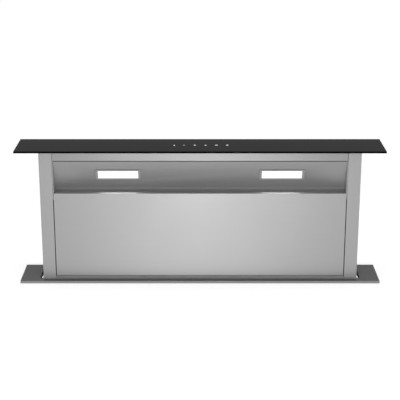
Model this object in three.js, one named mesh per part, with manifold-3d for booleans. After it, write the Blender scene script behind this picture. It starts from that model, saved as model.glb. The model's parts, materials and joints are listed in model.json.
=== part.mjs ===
// Downdraft vent: a slim extractor tower that rises out of a slot in a worktop.
// Millimetres, +Z up, the controls' side faces -Y. The origin is the centre of
// the worktop cut-out, level with the worktop's surface. The tower is drawn raised.
import * as THREE from 'three';
import { mergeVertices } from 'three/addons/utils/BufferGeometryUtils.js';
import Module from 'manifold-3d';

const wasm = await Module();
wasm.setup();

// ---------- Driving dimensions ----------

const seat = 0.3; // gap between pieces that seat on each other
const running = 0.6; // gap beside a sliding piece
const turning = 0.15; // radial gap round a turning shaft
const overrun = 1; // a cut goes this far past what it cuts
const bite = 1; // joined pieces of one solid share this much
const roundSides = 24;
const smallSides = 12;
const hexagon = 6;

// Glass lid, 880 by 117 mm
const glassOverhang = { end: 54, front: 31.3, back: 21.3 }; // beyond the tower
const glassThickness = 4.6;
const glassBevel = 0.7;
const trayInset = 11; // the tray stays this far inside the glass edge
const traySheet = 1.5;
const touchBoard = { width: 176, depth: 36, height: 9 };

// Tower
const reveal = 330.5; // flange top to glass top, raised
const towerWidth = 772;
const towerDepth = 64.4;
const towerSheet = 1.2;
const towerBelow = 60; // the tower's body reaches this far under the worktop
const stileFace = 31;
const stileSheet = 1.5;
const stileLip = 9;
const groove = 1.8; // dark line between a stile and the panels
const grooveDepth = 2;
const lidLanding = 1; // lid tray to flange, lowered

// Recess with the lamps and the air inlet
const lintelHeight = 25;
const lintelFlange = 7.7;
const fasciaSetback = 2.5;
const fasciaStart = 3; // upright strip under the lintel
const fasciaTuck = 17; // hidden behind the lintel
const recessDepth = 39.2; // tower face to the lip behind the inlet
const recessHeight = 78.3; // lintel's lower edge to the top of that lip
const lipHeight = 20;
const lampInset = 155.2; // fascia's end to the lamp's centre
const lampDrop = 41; // bend of the fascia to the lamps' centre line
const bezel = { width: 110, height: 32.5, corner: 4, sheet: 1, rim: 6.5, depth: 6 };
const lens = { width: 97, height: 23.2, thickness: 3, setback: 0.5 };
const lampBoard = { width: 102, height: 25, thickness: 1.6, chipInset: 4, chipHeight: 8 };

// Front panel, filters and sill
const panelDrop = 3.3; // crease of the recess's lip to the panel's top
const panelFold = 12;
const panelFootGap = 3.2; // panel to flange
const sillSetback = 5; // panel's face to the sill's
const sillReturn = 24;
const sillFoot = 14;
const backFold = 12;
const filter = { depth: 10, frame: 12, pleats: 26, sheet: 1.4, gap: 2, foot: 18.2, tuck: 15 };

// Flange round the slot, 880 by 112 mm
const flangeLap = { end: 22, side: 10 }; // beyond the casing
const flangeRise = 6;
const flangeSheet = 1.5;
const flangeRim = 3;
const slotEnd = 8; // slot to tower, at each end
const slotSide = 2.3; // slot to tower, front and back

// Casing under the worktop
const casingSpare = { end: 32, side: 13.8 }; // beyond the tower
const casingSheet = 1.2;
const casingFold = 17;
const casingFloorGap = 8; // under the lowered tower
const bead = { width: 18, rise: 1.7, margin: 60, pitch: 170, count: 5 };
const glide = { height: 36, arm: 21, wall: 5.2, sink: 30 }; // sink: under the casing's top
const glideLift = 87; // stile's lower end to the lower glide, raised
const nib = { reach: 3.2, length: 16.7, drop: 0.6 }; // drop: under the flange's top
const wiper = { thickness: 3, drop: 0.3 }; // drop: lip's edge under the flange's top

// Lift: racks in the stiles, pinions on one cross shaft, a geared motor
const gearModule = 2;
const pressureAngle = 20;
const pinionTeeth = 17;
const drivenTeeth = 20;
const gearFace = 14;
const rackInset = 10; // stile's outer side to rack
const rackRunOut = 12;
const shaftRadius = 5;
const shaftClear = 4; // lowered tower to the driven gear
const bearing = { width: 12, halfHeight: 12, gap: 5 };
const liftMotor = { radius: 20, can: 19, length: 78, gearbox: 34, halfBox: 23, gap: 4 };
const liftMotorShaft = { radius: 4, socket: 12 };

// Blower
const fanRise = 194; // casing's floor to the fan's axis
const scrollDepth = 150;
const scrollSheet = 2;
const scrollStart = 110;
const scrollEnd = 172;
const scrollStartAngle = -75;
const scrollOutlet = 176; // axis to the outlet's end
const scrollRim = { reach: 6, thickness: 3 };
const scrollBoss = { radius: 4.5, offset: 3, depth: 20, count: 6 };
const scrollRib = { count: 6, start: 73, rise: 3, width: 3 };
const eyeRadius = 80;
const eyeFlare = 12;
const eyeReach = 4; // eye into the wheel
const eyeSides = 36;
const wheel = { outer: 100, inner: 84, width: 112, plate: 2, ring: 4, front: 24 };
const blade = { count: 32, sheet: 1.4, sweep: 0.16, heel: 1, tip: 1.5 };
const hub = { radius: 16, length: 26 };
const fanShaft = { radius: 5 };
const fanMotor = { radius: 56, length: 58, flange: 70, flangeThick: 3, bell: 8, bellRadius: 39 };
const fanMotorBoss = { radius: 20, reach: 3, socket: 30 };
const fanMotorVent = { count: 8, start: 14, end: 32, width: 6, depth: 4 };

// Round outlet and its flaps
const collar = { outer: 74.5, wall: 2, length: 52, plate: 3, plateMargin: 3 };
const collarBead = { rise: 1.5, width: 3, up: 9 };
const flapPin = { radius: 2, drop: 16 };
const flap = { sheet: 1.5, knuckle: 4.2, clear: 2, split: 22, end: 60, gap: 1 };

// Control box, cable gland and worktop clamps
const controlBox = { width: 200, height: 160, depth: 50, drop: 90, inset: 68, sheet: 2 };
const controlLid = { sheet: 2, lip: 5 };
const controlEar = { reach: 16, height: 24, hole: 3 };
const louvre = { count: 7, pitch: 12, width: 4, height: 34, top: 24 };
const controlBoard = { margin: 8, thickness: 1.6, stand: 6, post: 3, postInset: 6 };
const transformer = { x: 16, z: 80, width: 44, height: 36, rise: 28 };
const relay = { x: 78, z: 92, width: 20, height: 16, rise: 15, pitch: 26 };
const terminals = { x: 20, z: 20, width: 60, height: 8, rise: 12 };
const capacitor = { x: 116, z: 48, radius: 9, rise: 20 };
const gland = { radius: 9, nut: 13, nutHeight: 9, bore: 4.5, length: 26, stub: 7 };
const worktopThickness = 38;
const clamp = { width: 40, foot: 32, leg: 70, sheet: 2, gap: 12 };
const clampScrew = { radius: 3, pad: 9, padThick: 2.5, tail: 34, head: 5.5, headHeight: 4 };

// ---------- Places worked out from them ----------

const halfTower = towerWidth / 2;
const front = -towerDepth / 2;
const back = towerDepth / 2;
const glassEnd = halfTower + glassOverhang.end;
const glassFront = front - glassOverhang.front;
const glassBack = back + glassOverhang.back;
const glassMiddle = (glassFront + glassBack) / 2;
const flangeTop = flangeRise;
const glassTop = flangeTop + reveal;
const glassBottom = glassTop - glassThickness;
const trayTop = glassBottom - seat;
const trayBottom = trayTop - traySheet;
const bodyTop = trayBottom - seat;
const bodyBottom = -towerBelow;
const travel = trayBottom - flangeTop - lidLanding;
const stileInner = halfTower - stileFace;
const panelEdge = stileInner - groove;
const cheekOuter = stileInner - seat;
const lintelBottom = bodyTop - lintelHeight;
const bend = { y: front + fasciaSetback, z: lintelBottom - fasciaStart };
const lip = { y: front + recessDepth, z: lintelBottom - recessHeight };
const slope = Math.atan2(lip.y - bend.y, bend.z - lip.z);
const panelBottom = flangeTop + panelFootGap;
const panelTop = lip.z - panelDrop;
const sillTop = panelBottom - seat;
const sillFront = front + sillSetback;
const casingFront = front - casingSpare.side;
const casingBack = back + casingSpare.side;
const casingInnerBack = casingBack - casingSheet;
const casingEnd = halfTower + casingSpare.end;
const flangeEnd = casingEnd + flangeLap.end;
const flangeBack = casingBack + flangeLap.side;
const casingTop = flangeTop - flangeSheet - seat;
const slotX = halfTower + slotEnd;
const slotY = back + slotSide;
const pinionPitch = (gearModule * pinionTeeth) / 2;
const drivenPitch = (gearModule * drivenTeeth) / 2;
const addendum = 0.9 * gearModule;
const dedendum = 1.15 * gearModule;
const backlash = 0.15 * gearModule;
const pressure = THREE.MathUtils.degToRad(pressureAngle);
const shaftZ = bodyBottom - travel - shaftClear - drivenPitch - addendum;
const rackX = halfTower - rackInset;
const rackBottom = shaftZ - rackRunOut;
const rackTop = shaftZ + travel + rackRunOut;
const stileBottom = rackBottom - gearModule;
const casingBottom = stileBottom - travel - casingFloorGap;
const fanZ = casingBottom + fanRise;
const scrollRear = casingFront - seat;
const coverFront = scrollRear - scrollSheet;
const scrollFront = scrollRear - scrollDepth;
const wheelFront = coverFront - wheel.front;
const tongue = {
  x: scrollStart * Math.cos(THREE.MathUtils.degToRad(scrollStartAngle)),
  z: scrollStart * Math.sin(THREE.MathUtils.degToRad(scrollStartAngle)),
};
const outletZ = fanZ - scrollOutlet;
const outletX = (tongue.x + scrollEnd) / 2;
const outletY = (scrollRear + scrollFront) / 2;

// ---------- Materials ----------

const finish = (color, roughness, metalness) =>
  new THREE.MeshStandardMaterial({ color, roughness, metalness });
const brushedSteel = finish(0xb4b4b6, 0.36, 1);
const polishedSteel = finish(0xc2c2c6, 0.16, 1);
const galvanised = finish(0xa7abae, 0.5, 0.9);
const blackGlass = finish(0x08080a, 0.05, 0);
const lampGlow = finish(0xffffff, 0.4, 0);
lampGlow.emissive = new THREE.Color(0xffffff);
const bezelGrey = finish(0x9d9a9b, 0.4, 0.3);
const filterMesh = finish(0xc4c7ca, 0.42, 1);
const whiteNylon = finish(0xf0f0ec, 0.5, 0);
const blackRubber = finish(0x1b1b1d, 0.85, 0);
const blackPlastic = finish(0x26272a, 0.55, 0);
const circuitBoard = finish(0x1f5b3a, 0.6, 0);
const gearSteel = finish(0x8c8f93, 0.4, 1);

// ---------- Making and cutting solids ----------

function toSolid(geometry) {
  geometry.deleteAttribute('normal');
  geometry.deleteAttribute('uv');
  const merged = mergeVertices(geometry, 1e-4);
  return new wasm.Manifold(
    new wasm.Mesh({
      numProp: 3,
      vertProperties: merged.attributes.position.array,
      triVerts: new Uint32Array(merged.index.array),
    }),
  );
}

function toGeometry(body) {
  const mesh = body.getMesh();
  const geometry = new THREE.BufferGeometry();
  geometry.setAttribute('position', new THREE.BufferAttribute(mesh.vertProperties, 3));
  geometry.setIndex(new THREE.BufferAttribute(mesh.triVerts, 1));
  geometry.computeVertexNormals();
  return geometry;
}

const join = (first, ...rest) => rest.reduce((body, next) => body.add(next), first);
const cut = (first, ...rest) => rest.reduce((body, next) => body.subtract(next), first);

// A block between two limits along each axis, given in either order.
function block(x, y, z) {
  const size = [x, y, z].map(([a, b]) => Math.abs(b - a));
  const middle = [x, y, z].map(([a, b]) => (a + b) / 2);
  return toSolid(new THREE.BoxGeometry(...size).translate(...middle));
}

// An outline runs along an axis: (y, z) along X, (x, z) along Y or (x, y) along Z.
const runs = {
  x: new THREE.Matrix4().makeBasis(
    new THREE.Vector3(0, 1, 0),
    new THREE.Vector3(0, 0, 1),
    new THREE.Vector3(1, 0, 0),
  ),
  y: new THREE.Matrix4().makeBasis(
    new THREE.Vector3(1, 0, 0),
    new THREE.Vector3(0, 0, 1),
    new THREE.Vector3(0, -1, 0),
  ),
  z: new THREE.Matrix4(),
};

function prism(axis, limits, outline) {
  const [from, to] = [Math.min(...limits), Math.max(...limits)];
  const shape = new THREE.Shape(outline.map(([u, v]) => new THREE.Vector2(u, v)));
  const geometry = new THREE.ExtrudeGeometry(shape, { depth: to - from, bevelEnabled: false });
  geometry.applyMatrix4(runs[axis]);
  const start = { x: [from, 0, 0], y: [0, to, 0], z: [0, 0, from] };
  return toSolid(geometry.translate(...start[axis]));
}

const circle = (radius, [u, v], sides = roundSides) =>
  Array.from({ length: sides }, (_, i) => {
    const angle = ((i + 0.5) / sides) * 2 * Math.PI;
    return [u + radius * Math.cos(angle), v + radius * Math.sin(angle)];
  });

const rod = (axis, limits, radius, centre, sides) =>
  prism(axis, limits, circle(radius, centre, sides));

// A hole whose flats clear a turning shaft of the given radius.
const bore = (axis, limits, radius, centre, sides = roundSides) =>
  rod(axis, limits, (radius + turning) / Math.cos(Math.PI / sides), centre, sides);

// Outline of a folded sheet: the path is one face, the other lies to its left.
function folded(path, thickness) {
  const points = path.map(([u, v]) => new THREE.Vector2(u, v));
  const normals = points.slice(1).map((point, i) => {
    const along = point.clone().sub(points[i]).normalize();
    return new THREE.Vector2(-along.y, along.x);
  });
  const inner = points.map((point, i) => {
    const sum = (normals[i - 1] ?? normals[i]).clone().add(normals[i] ?? normals[i - 1]);
    return point.clone().addScaledVector(sum, (2 * thickness) / sum.lengthSq());
  });
  return [...points, ...inner.reverse()].map((point) => [point.x, point.y]);
}

// Mirrors an outline's first coordinate for the left-hand side.
const sided = (side, outline) => outline.map(([u, v]) => [side * u, v]);

function roundedRectangle(width, height, radius, steps = 4) {
  const corners = [[1, 1], [-1, 1], [-1, -1], [1, -1]];
  return corners.flatMap(([sx, sy], quarter) =>
    Array.from({ length: steps + 1 }, (_, i) => {
      const angle = ((quarter + i / steps) * Math.PI) / 2;
      return [
        sx * (width / 2 - radius) + radius * Math.cos(angle),
        sy * (height / 2 - radius) + radius * Math.sin(angle),
      ];
    }),
  );
}

const both = (make) => [make(-1, 'left'), make(1, 'right')];
const span = (halfWidth) => [-halfWidth, halfWidth];
const around = (middle, width) => [middle - width / 2, middle + width / 2];
const grown = ([low, high], by) => [low - by, high + by];
// The same limits, in order and reaching past both ends, for a cut.
const past = ([a, b]) => grown([Math.min(a, b), Math.max(a, b)], overrun);

// ---------- The assembly ----------

const downdraftVent = new THREE.Group();

function place(name, body, material, parent = downdraftVent) {
  const mesh = new THREE.Mesh(toGeometry(body), material);
  mesh.name = name;
  parent.add(mesh);
  return mesh;
}

// ---------- Glass lid and its tray ----------

function glassLid() {
  const outline = [
    [glassFront, glassBottom + glassBevel],
    [glassFront + glassBevel, glassBottom],
    [glassBack - glassBevel, glassBottom],
    [glassBack, glassBottom + glassBevel],
    [glassBack, glassTop - glassBevel],
    [glassBack - glassBevel, glassTop],
    [glassFront + glassBevel, glassTop],
    [glassFront, glassTop - glassBevel],
  ];
  place('glass_lid', prism('x', span(glassEnd), outline), blackGlass);
}

function lidTray() {
  const y = [glassFront + trayInset, glassBack - trayInset];
  const plate = block(span(glassEnd - trayInset), y, [trayBottom, trayTop]);
  const windowY = around(glassMiddle, touchBoard.depth + 2 * seat);
  const windowX = span(touchBoard.width / 2 + seat);
  const window = block(windowX, windowY, past([trayBottom, trayTop]));
  place('lid_tray', cut(plate, window), galvanised);
}

function touchControl() {
  const z = [trayTop - touchBoard.height, trayTop];
  const board = block(span(touchBoard.width / 2), around(glassMiddle, touchBoard.depth), z);
  place('touch_board', board, circuitBoard);
}

// ---------- Tower ----------

function stiles() {
  both((side, name) => {
    const path = [
      [stileInner, front + stileLip],
      [stileInner, front],
      [halfTower, front],
      [halfTower, back],
      [stileInner, back],
      [stileInner, back - stileLip],
    ];
    const outline = sided(side, folded(path, stileSheet));
    place(`stile_${name}`, prism('z', [stileBottom, bodyTop], outline), brushedSteel);
  });
}

function recessCheeks() {
  const rear = back - backFold - seat;
  both((side, name) => {
    const x = [side * (cheekOuter - towerSheet), side * cheekOuter];
    const plate = block(x, [front + grooveDepth, rear], [lip.z - lipHeight, bodyTop]);
    place(`recess_cheek_${name}`, plate, brushedSteel);
  });
}

function lintel() {
  const path = [
    [front + lintelFlange, bodyTop],
    [front, bodyTop],
    [front, lintelBottom],
  ];
  place('lintel', prism('x', span(panelEdge), folded(path, towerSheet)), brushedSteel);
}

// The recess's sloping back, with an opening for each lamp.
function lampFascia() {
  const path = [
    [bend.y, lintelBottom + fasciaTuck],
    [bend.y, bend.z],
    [lip.y, lip.z],
    [lip.y, lip.z - lipHeight],
  ];
  let sheet = prism('x', span(panelEdge), folded(path, towerSheet));
  const opening = {
    width: bezel.width - bezel.rim + 2 * seat,
    height: bezel.height - bezel.rim + 2 * seat,
  };
  both((side) => {
    const hole = new THREE.BoxGeometry(opening.width, 4 * towerSheet, opening.height);
    sheet = cut(sheet, toSolid(hole.applyMatrix4(lampFrame(side))));
  });
  place('lamp_fascia', sheet, brushedSteel);
}

// A lamp's own frame: its centre on the fascia's face, +Z up the slope.
function lampFrame(side) {
  const y = bend.y + lampDrop * Math.sin(slope);
  const z = bend.z - lampDrop * Math.cos(slope);
  return new THREE.Matrix4()
    .makeTranslation(side * (panelEdge - lampInset), y, z)
    .multiply(new THREE.Matrix4().makeRotationX(slope));
}

function lamps() {
  both((side, name) => {
    const group = new THREE.Group();
    group.applyMatrix4(lampFrame(side));
    downdraftVent.add(group);
    const faceFront = -seat - bezel.sheet;
    const panel = (size, y, margin = 0) =>
      block(span(size.width / 2 + margin), y, span(size.height / 2 + margin));
    const rim = roundedRectangle(bezel.width, bezel.height, bezel.corner);
    const face = prism('y', [faceFront, -seat], rim);
    const sleeve = panel(bezel, [-seat - bezel.sheet / 2, bezel.depth], -bezel.rim / 2);
    const window = panel(lens, past([faceFront, bezel.depth]), seat);
    place(`lamp_bezel_${name}`, cut(join(face, sleeve), window), bezelGrey, group);
    const lensFront = faceFront + lens.setback;
    const lensBack = lensFront + lens.thickness;
    place(`lamp_lens_${name}`, panel(lens, [lensFront, lensBack]), lampGlow, group);
    const boardFront = bezel.depth + seat;
    const boardBack = boardFront + lampBoard.thickness;
    const chipX = span(lens.width / 2 - lampBoard.chipInset);
    const chipY = [lensBack + seat, (boardFront + boardBack) / 2];
    const chips = block(chipX, chipY, span(lampBoard.chipHeight / 2));
    const board = panel(lampBoard, [boardFront, boardBack]);
    place(`lamp_board_${name}`, join(board, chips), circuitBoard, group);
  });
}

function frontPanel() {
  const outer = block(span(panelEdge), [front, front + panelFold], [panelBottom, panelTop]);
  const hollow = block(
    span(panelEdge - towerSheet),
    [front + towerSheet, front + panelFold + overrun],
    [panelBottom + towerSheet, panelTop - towerSheet],
  );
  place('front_panel', cut(outer, hollow), brushedSteel);
}

function backPanel() {
  const path = [
    [cheekOuter, back - backFold],
    [cheekOuter, back],
    [-cheekOuter, back],
    [-cheekOuter, back - backFold],
  ];
  place('back_panel', prism('z', [bodyBottom, bodyTop], folded(path, towerSheet)), brushedSteel);
}

function towerSill() {
  const path = [
    [sillFront + sillReturn, sillTop],
    [sillFront, sillTop],
    [sillFront, bodyBottom],
    [sillFront + sillFoot, bodyBottom],
  ];
  place('tower_sill', prism('x', span(cheekOuter), folded(path, towerSheet)), brushedSteel);
}

// Two pleated metal filters stand on the sill and lean back behind the fascia's lip.
function greaseFilters() {
  const footY = front + filter.foot;
  const lipBack = lip.y + towerSheet + seat;
  const rise = lip.z - lipHeight - sillTop;
  const lean = Math.atan2(lipBack - footY, rise);
  const footZ = sillTop + seat + filter.depth * Math.sin(lean);
  const height = (lip.z - lipHeight + filter.tuck - footZ) / Math.cos(lean);
  const width = cheekOuter - towerSheet - seat - filter.gap / 2;
  both((side, name) => {
    const x = (edge) => side * (filter.gap / 2 + edge);
    const inner = filter.frame;
    const outer = block([x(0), x(width)], [0, filter.depth], [0, height]);
    const openZ = [inner, height - inner];
    const opening = block([x(inner), x(width - inner)], past([0, filter.depth]), openZ);
    const [coreStart, coreEnd] = grown([inner, width - inner], bite / 2);
    const pitch = (coreEnd - coreStart) / filter.pleats;
    const ridge = filter.depth - 2 * filter.sheet;
    const zigzag = Array.from({ length: filter.pleats + 1 }, (_, i) => [
      coreStart + i * pitch,
      filter.sheet + (i % 2) * ridge,
    ]);
    const halfWall = (filter.sheet * Math.hypot(1, ridge / pitch)) / 4;
    const core = [
      ...zigzag.map(([u, v]) => [u, v - halfWall]),
      ...zigzag.map(([u, v]) => [u, v + halfWall]).reverse(),
    ].map(([u, v]) => [x(u), v]);
    const pleated = prism('z', grown(openZ, bite / 2), core);
    const mesh = place(`grease_filter_${name}`, join(cut(outer, opening), pleated), filterMesh);
    mesh.rotation.x = -lean;
    mesh.position.set(0, footY, footZ);
  });
}

// ---------- Flange, seal and wipers ----------

function flange() {
  const plate = block(span(flangeEnd), span(flangeBack), [0, flangeTop]);
  const underZ = [-overrun, flangeTop - flangeSheet];
  const under = block(span(flangeEnd - flangeRim), span(flangeBack - flangeRim), underZ);
  const slot = block(span(slotX), span(slotY), past([0, flangeTop]));
  place('flange', cut(plate, under, slot), polishedSteel);
}

function flangeSeal() {
  const inset = flangeRim + seat;
  const ring = block(span(flangeEnd - inset), span(flangeBack - inset), [seat, casingTop]);
  const inside = block(span(casingEnd + seat), span(casingBack + seat), past([0, casingTop]));
  place('flange_seal', cut(ring, inside), blackRubber);
}

// Rubber strips under the flange, each with a lip that stands in the slot.
function wipers() {
  const z = [casingTop - wiper.thickness, casingTop];
  const lipZ = [casingTop - bite, flangeTop - wiper.drop];
  const inner = back + running;
  const outer = casingInnerBack - seat;
  const strip = (edge) =>
    join(
      block(span(halfTower), [edge * inner, edge * outer], z),
      block(span(halfTower), [edge * inner, edge * (slotY - seat)], lipZ),
    );
  place('slot_wiper_front', strip(-1), blackRubber);
  place('slot_wiper_back', strip(1), blackRubber);
}

// ---------- Casing ----------

// The rear wall is stiffened by upright beads pressed outwards.
function beadedBack(z) {
  const beadZ = grown(z, -bead.margin);
  const firstBead = (-bead.pitch * (bead.count - 1)) / 2;
  const beads = Array.from({ length: bead.count }, (_, i) => firstBead + i * bead.pitch);
  const ridges = beads.map((x) =>
    block(around(x, bead.width), [casingInnerBack, casingBack + bead.rise], beadZ),
  );
  const hollows = beads.map((x) =>
    block(
      around(x, bead.width - 2 * casingSheet),
      [casingInnerBack - overrun, casingInnerBack + bead.rise],
      grown(beadZ, -casingSheet),
    ),
  );
  const wall = block(span(casingEnd), [casingInnerBack, casingBack], z);
  return cut(join(wall, ...ridges), ...hollows);
}

function casing() {
  const inside = casingInnerBack - seat;
  const z = [casingBottom + casingSheet + seat, casingTop];
  const frontY = [casingFront, casingFront + casingSheet];
  const inletRadius = eyeRadius + eyeFlare + scrollSheet / 2;
  const inlet = rod('y', past(frontY), inletRadius, [0, fanZ], eyeSides);
  place('casing_front', cut(block(span(casingEnd), frontY, z), inlet), galvanised);
  place('casing_back', beadedBack(z), galvanised);
  both((side, name) => {
    const path = [
      [casingEnd - casingFold, -inside],
      [casingEnd, -inside],
      [casingEnd, inside],
      [casingEnd - casingFold, inside],
    ];
    const outline = sided(side, folded(path, casingSheet));
    place(`casing_side_${name}`, prism('z', z, outline), galvanised);
  });
  const path = [
    [inside, casingBottom + casingFold],
    [inside, casingBottom],
    [-inside, casingBottom],
    [-inside, casingBottom + casingFold],
  ];
  const floor = prism('x', span(casingEnd - casingFold - seat), folded(path, -casingSheet));
  const plate = block(span(casingEnd), span(casingBack), [casingBottom, casingBottom + casingSheet]);
  place('casing_floor', join(floor, plate), galvanised);
}

// Nylon glides wrap each stile's outer side, under the slot and further down. Two nibs
// of the upper one stand up in the slot's corners.
function glides() {
  const inner = halfTower + running;
  const arm = back + running;
  const outer = casingEnd - casingSheet - seat;
  both((side, name) => {
    const outline = sided(side, [
      [halfTower - glide.arm, arm],
      [inner, arm],
      [inner, -arm],
      [halfTower - glide.arm, -arm],
      [halfTower - glide.arm, -arm - glide.wall],
      [outer, -arm - glide.wall],
      [outer, arm + glide.wall],
      [halfTower - glide.arm, arm + glide.wall],
    ]);
    const shoeTop = casingTop - glide.sink;
    const shoe = prism('z', [shoeTop - glide.height, shoeTop], outline);
    const nibX = [side * inner, side * (inner + nib.reach)];
    const nibEnd = slotY - seat;
    const nibs = [-1, 1].map((edge) =>
      block(nibX, [edge * (nibEnd - nib.length), edge * nibEnd], [shoeTop - bite, flangeTop - nib.drop]),
    );
    place(`glide_upper_${name}`, join(shoe, ...nibs), whiteNylon);
    const lowerZ = [stileBottom + glideLift, stileBottom + glideLift + glide.height];
    place(`glide_lower_${name}`, prism('z', lowerZ, outline), whiteNylon);
  });
}

// ---------- Lift ----------

const involute = (baseRadius, radius) => {
  const angle = Math.acos(Math.min(1, baseRadius / radius));
  return Math.tan(angle) - angle;
};

// A spur gear's outline with one tooth centred on the given angle.
function gearOutline(teeth, [u, v], toothAngle) {
  const pitch = (gearModule * teeth) / 2;
  const base = pitch * Math.cos(pressure);
  const atPitch = (Math.PI * gearModule) / 2 - backlash;
  const halfAngle = (radius) =>
    atPitch / (2 * pitch) + involute(base, pitch) - involute(base, Math.max(base, radius));
  const radii = [pitch - dedendum, base, pitch, pitch + addendum];
  return Array.from({ length: teeth }, (_, tooth) => {
    const centre = toothAngle + (tooth / teeth) * 2 * Math.PI;
    const rising = radii.map((radius) => [radius, centre - halfAngle(radius)]);
    const falling = radii.map((radius) => [radius, centre + halfAngle(radius)]).reverse();
    return [...rising, ...falling];
  })
    .flat()
    .map(([radius, angle]) => [u + radius * Math.cos(angle), v + radius * Math.sin(angle)]);
}

// The rack faces +Y; a gap between its teeth is level with the shaft.
function rackOutline(heel) {
  const pitchLine = -pinionPitch;
  const toothPitch = Math.PI * gearModule;
  const pitchHalf = (toothPitch / 2 - backlash) / 2;
  const tipHalf = pitchHalf - addendum * Math.tan(pressure);
  const rootHalf = pitchHalf + dedendum * Math.tan(pressure);
  const teeth = [];
  const first = Math.ceil((rackBottom - shaftZ) / toothPitch);
  const end = Math.floor((rackTop - shaftZ) / toothPitch);
  for (let tooth = first; tooth < end; tooth += 1) {
    const z = shaftZ + (tooth + 0.5) * toothPitch;
    teeth.push(
      [pitchLine - dedendum, z - rootHalf],
      [pitchLine + addendum, z - tipHalf],
      [pitchLine + addendum, z + tipHalf],
      [pitchLine - dedendum, z + rootHalf],
    );
  }
  return [
    [heel, rackBottom],
    [pitchLine - dedendum, rackBottom],
    ...teeth,
    [pitchLine - dedendum, rackTop],
    [heel, rackTop],
  ];
}

function liftDrive() {
  const axis = [0, shaftZ];
  const heel = front + stileSheet + seat;
  const wallY = casingInnerBack - seat;
  const shaftEnd = rackX + seat;
  place('cross_shaft', rod('x', span(shaftEnd), shaftRadius, axis), gearSteel);
  both((side, name) => {
    const x = [side * (rackX - gearFace), side * rackX];
    place(`rack_${name}`, prism('x', x, rackOutline(heel)), gearSteel);
    const pinion = prism('x', x, gearOutline(pinionTeeth, axis, Math.PI));
    const keyed = rod('x', past(x), shaftRadius + seat, axis);
    place(`pinion_${name}`, cut(pinion, keyed), gearSteel);
    const bearingEnd = stileInner - bearing.gap;
    const bearingX = [side * (bearingEnd - bearing.width), side * bearingEnd];
    const pillow = block(bearingX, [0, wallY], grown([shaftZ, shaftZ], bearing.halfHeight));
    const nose = rod('x', bearingX, bearing.halfHeight, axis, smallSides);
    const hole = bore('x', past(bearingX), shaftRadius, axis);
    place(`bearing_block_${name}`, cut(join(pillow, nose), hole), blackPlastic);
  });
  const gearX = span(gearFace / 2);
  const driven = prism('x', gearX, gearOutline(drivenTeeth, axis, -Math.PI / 2));
  const keyed = rod('x', span(gearFace), shaftRadius + seat, axis);
  place('driven_gear', cut(driven, keyed), gearSteel);

  const motorAxis = [0, shaftZ - drivenPitch - pinionPitch];
  const boxStart = gearFace / 2 + liftMotor.gap;
  const boxEnd = boxStart + liftMotor.gearbox;
  const pinionGap = Math.PI / 2 + Math.PI / pinionTeeth;
  const pinion = prism('x', gearX, gearOutline(pinionTeeth, motorAxis, pinionGap));
  const socketEnd = boxStart + liftMotorShaft.socket;
  const stub = rod('x', [0, socketEnd - running], liftMotorShaft.radius, motorAxis);
  place('motor_pinion', join(pinion, stub), gearSteel);
  const [, motorZ] = motorAxis;
  const boxZ = grown([motorZ, motorZ], liftMotor.radius);
  const gearbox = block([boxStart, boxEnd], [-liftMotor.halfBox, wallY], boxZ);
  const can = rod('x', [boxEnd - bite, boxEnd + liftMotor.length], liftMotor.can, motorAxis);
  const socket = bore('x', [boxStart - overrun, socketEnd], liftMotorShaft.radius, motorAxis);
  place('lift_motor', cut(join(gearbox, can), socket), blackPlastic);
}

// ---------- Blower ----------

// The scroll widens clockwise, seen from the front.
function scrollSpiral(inset, steps = 30) {
  const sweep = THREE.MathUtils.degToRad(360 + scrollStartAngle);
  const start = THREE.MathUtils.degToRad(scrollStartAngle);
  return Array.from({ length: steps + 1 }, (_, i) => {
    const angle = start - (sweep * i) / steps;
    const radius = scrollStart + ((scrollEnd - scrollStart) * i) / steps - inset;
    return [radius * Math.cos(angle), fanZ + radius * Math.sin(angle)];
  });
}

// The spiral ends in a downward outlet.
function scrollOutline(inset, outletEnd) {
  return [
    ...scrollSpiral(inset),
    [scrollEnd - inset, outletEnd],
    [tongue.x + inset, outletEnd],
    [tongue.x + inset, fanZ + tongue.z + 2 * inset],
  ];
}

// Ribs fan out over the scroll's face from round the motor.
function scrollRibs() {
  const turn = (2 * Math.PI) / scrollRib.count;
  const length = scrollEnd - scrollRib.start;
  const depth = scrollRib.rise + scrollSheet / 2;
  const bars = Array.from({ length: scrollRib.count }, (_, i) => {
    const bar = new THREE.BoxGeometry(length, depth, scrollRib.width);
    bar.translate(scrollRib.start + length / 2, scrollFront - scrollRib.rise + depth / 2, 0);
    return toSolid(bar.rotateY((i + 0.5) * turn).translate(0, 0, fanZ));
  });
  const within = [scrollFront - scrollRib.rise - overrun, scrollFront + scrollSheet];
  return join(...bars).intersect(prism('y', within, scrollOutline(scrollSheet / 2, outletZ)));
}

function scroll() {
  const rimEnd = coverFront - seat;
  const body = prism('y', [scrollFront, rimEnd], scrollOutline(0, outletZ));
  const rimY = [rimEnd - scrollRim.thickness, rimEnd];
  const rim = prism('y', rimY, scrollOutline(-scrollRim.reach, outletZ));
  const bossY = [rimEnd - scrollBoss.depth, rimEnd];
  const bosses = scrollSpiral(-scrollBoss.offset, scrollBoss.count - 1).map((at) =>
    rod('y', bossY, scrollBoss.radius, at, smallSides),
  );
  const inner = scrollOutline(scrollSheet, outletZ - overrun);
  const cavity = prism('y', [scrollFront + scrollSheet, coverFront + overrun], inner);
  const faceY = past([scrollFront, scrollFront + scrollSheet]);
  const shaftHole = rod('y', faceY, fanMotorBoss.radius + seat, [0, fanZ]);
  const shell = join(body, rim, ...bosses, scrollRibs());
  place('scroll_housing', cut(shell, cavity, shaftHole), blackPlastic);
}

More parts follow.
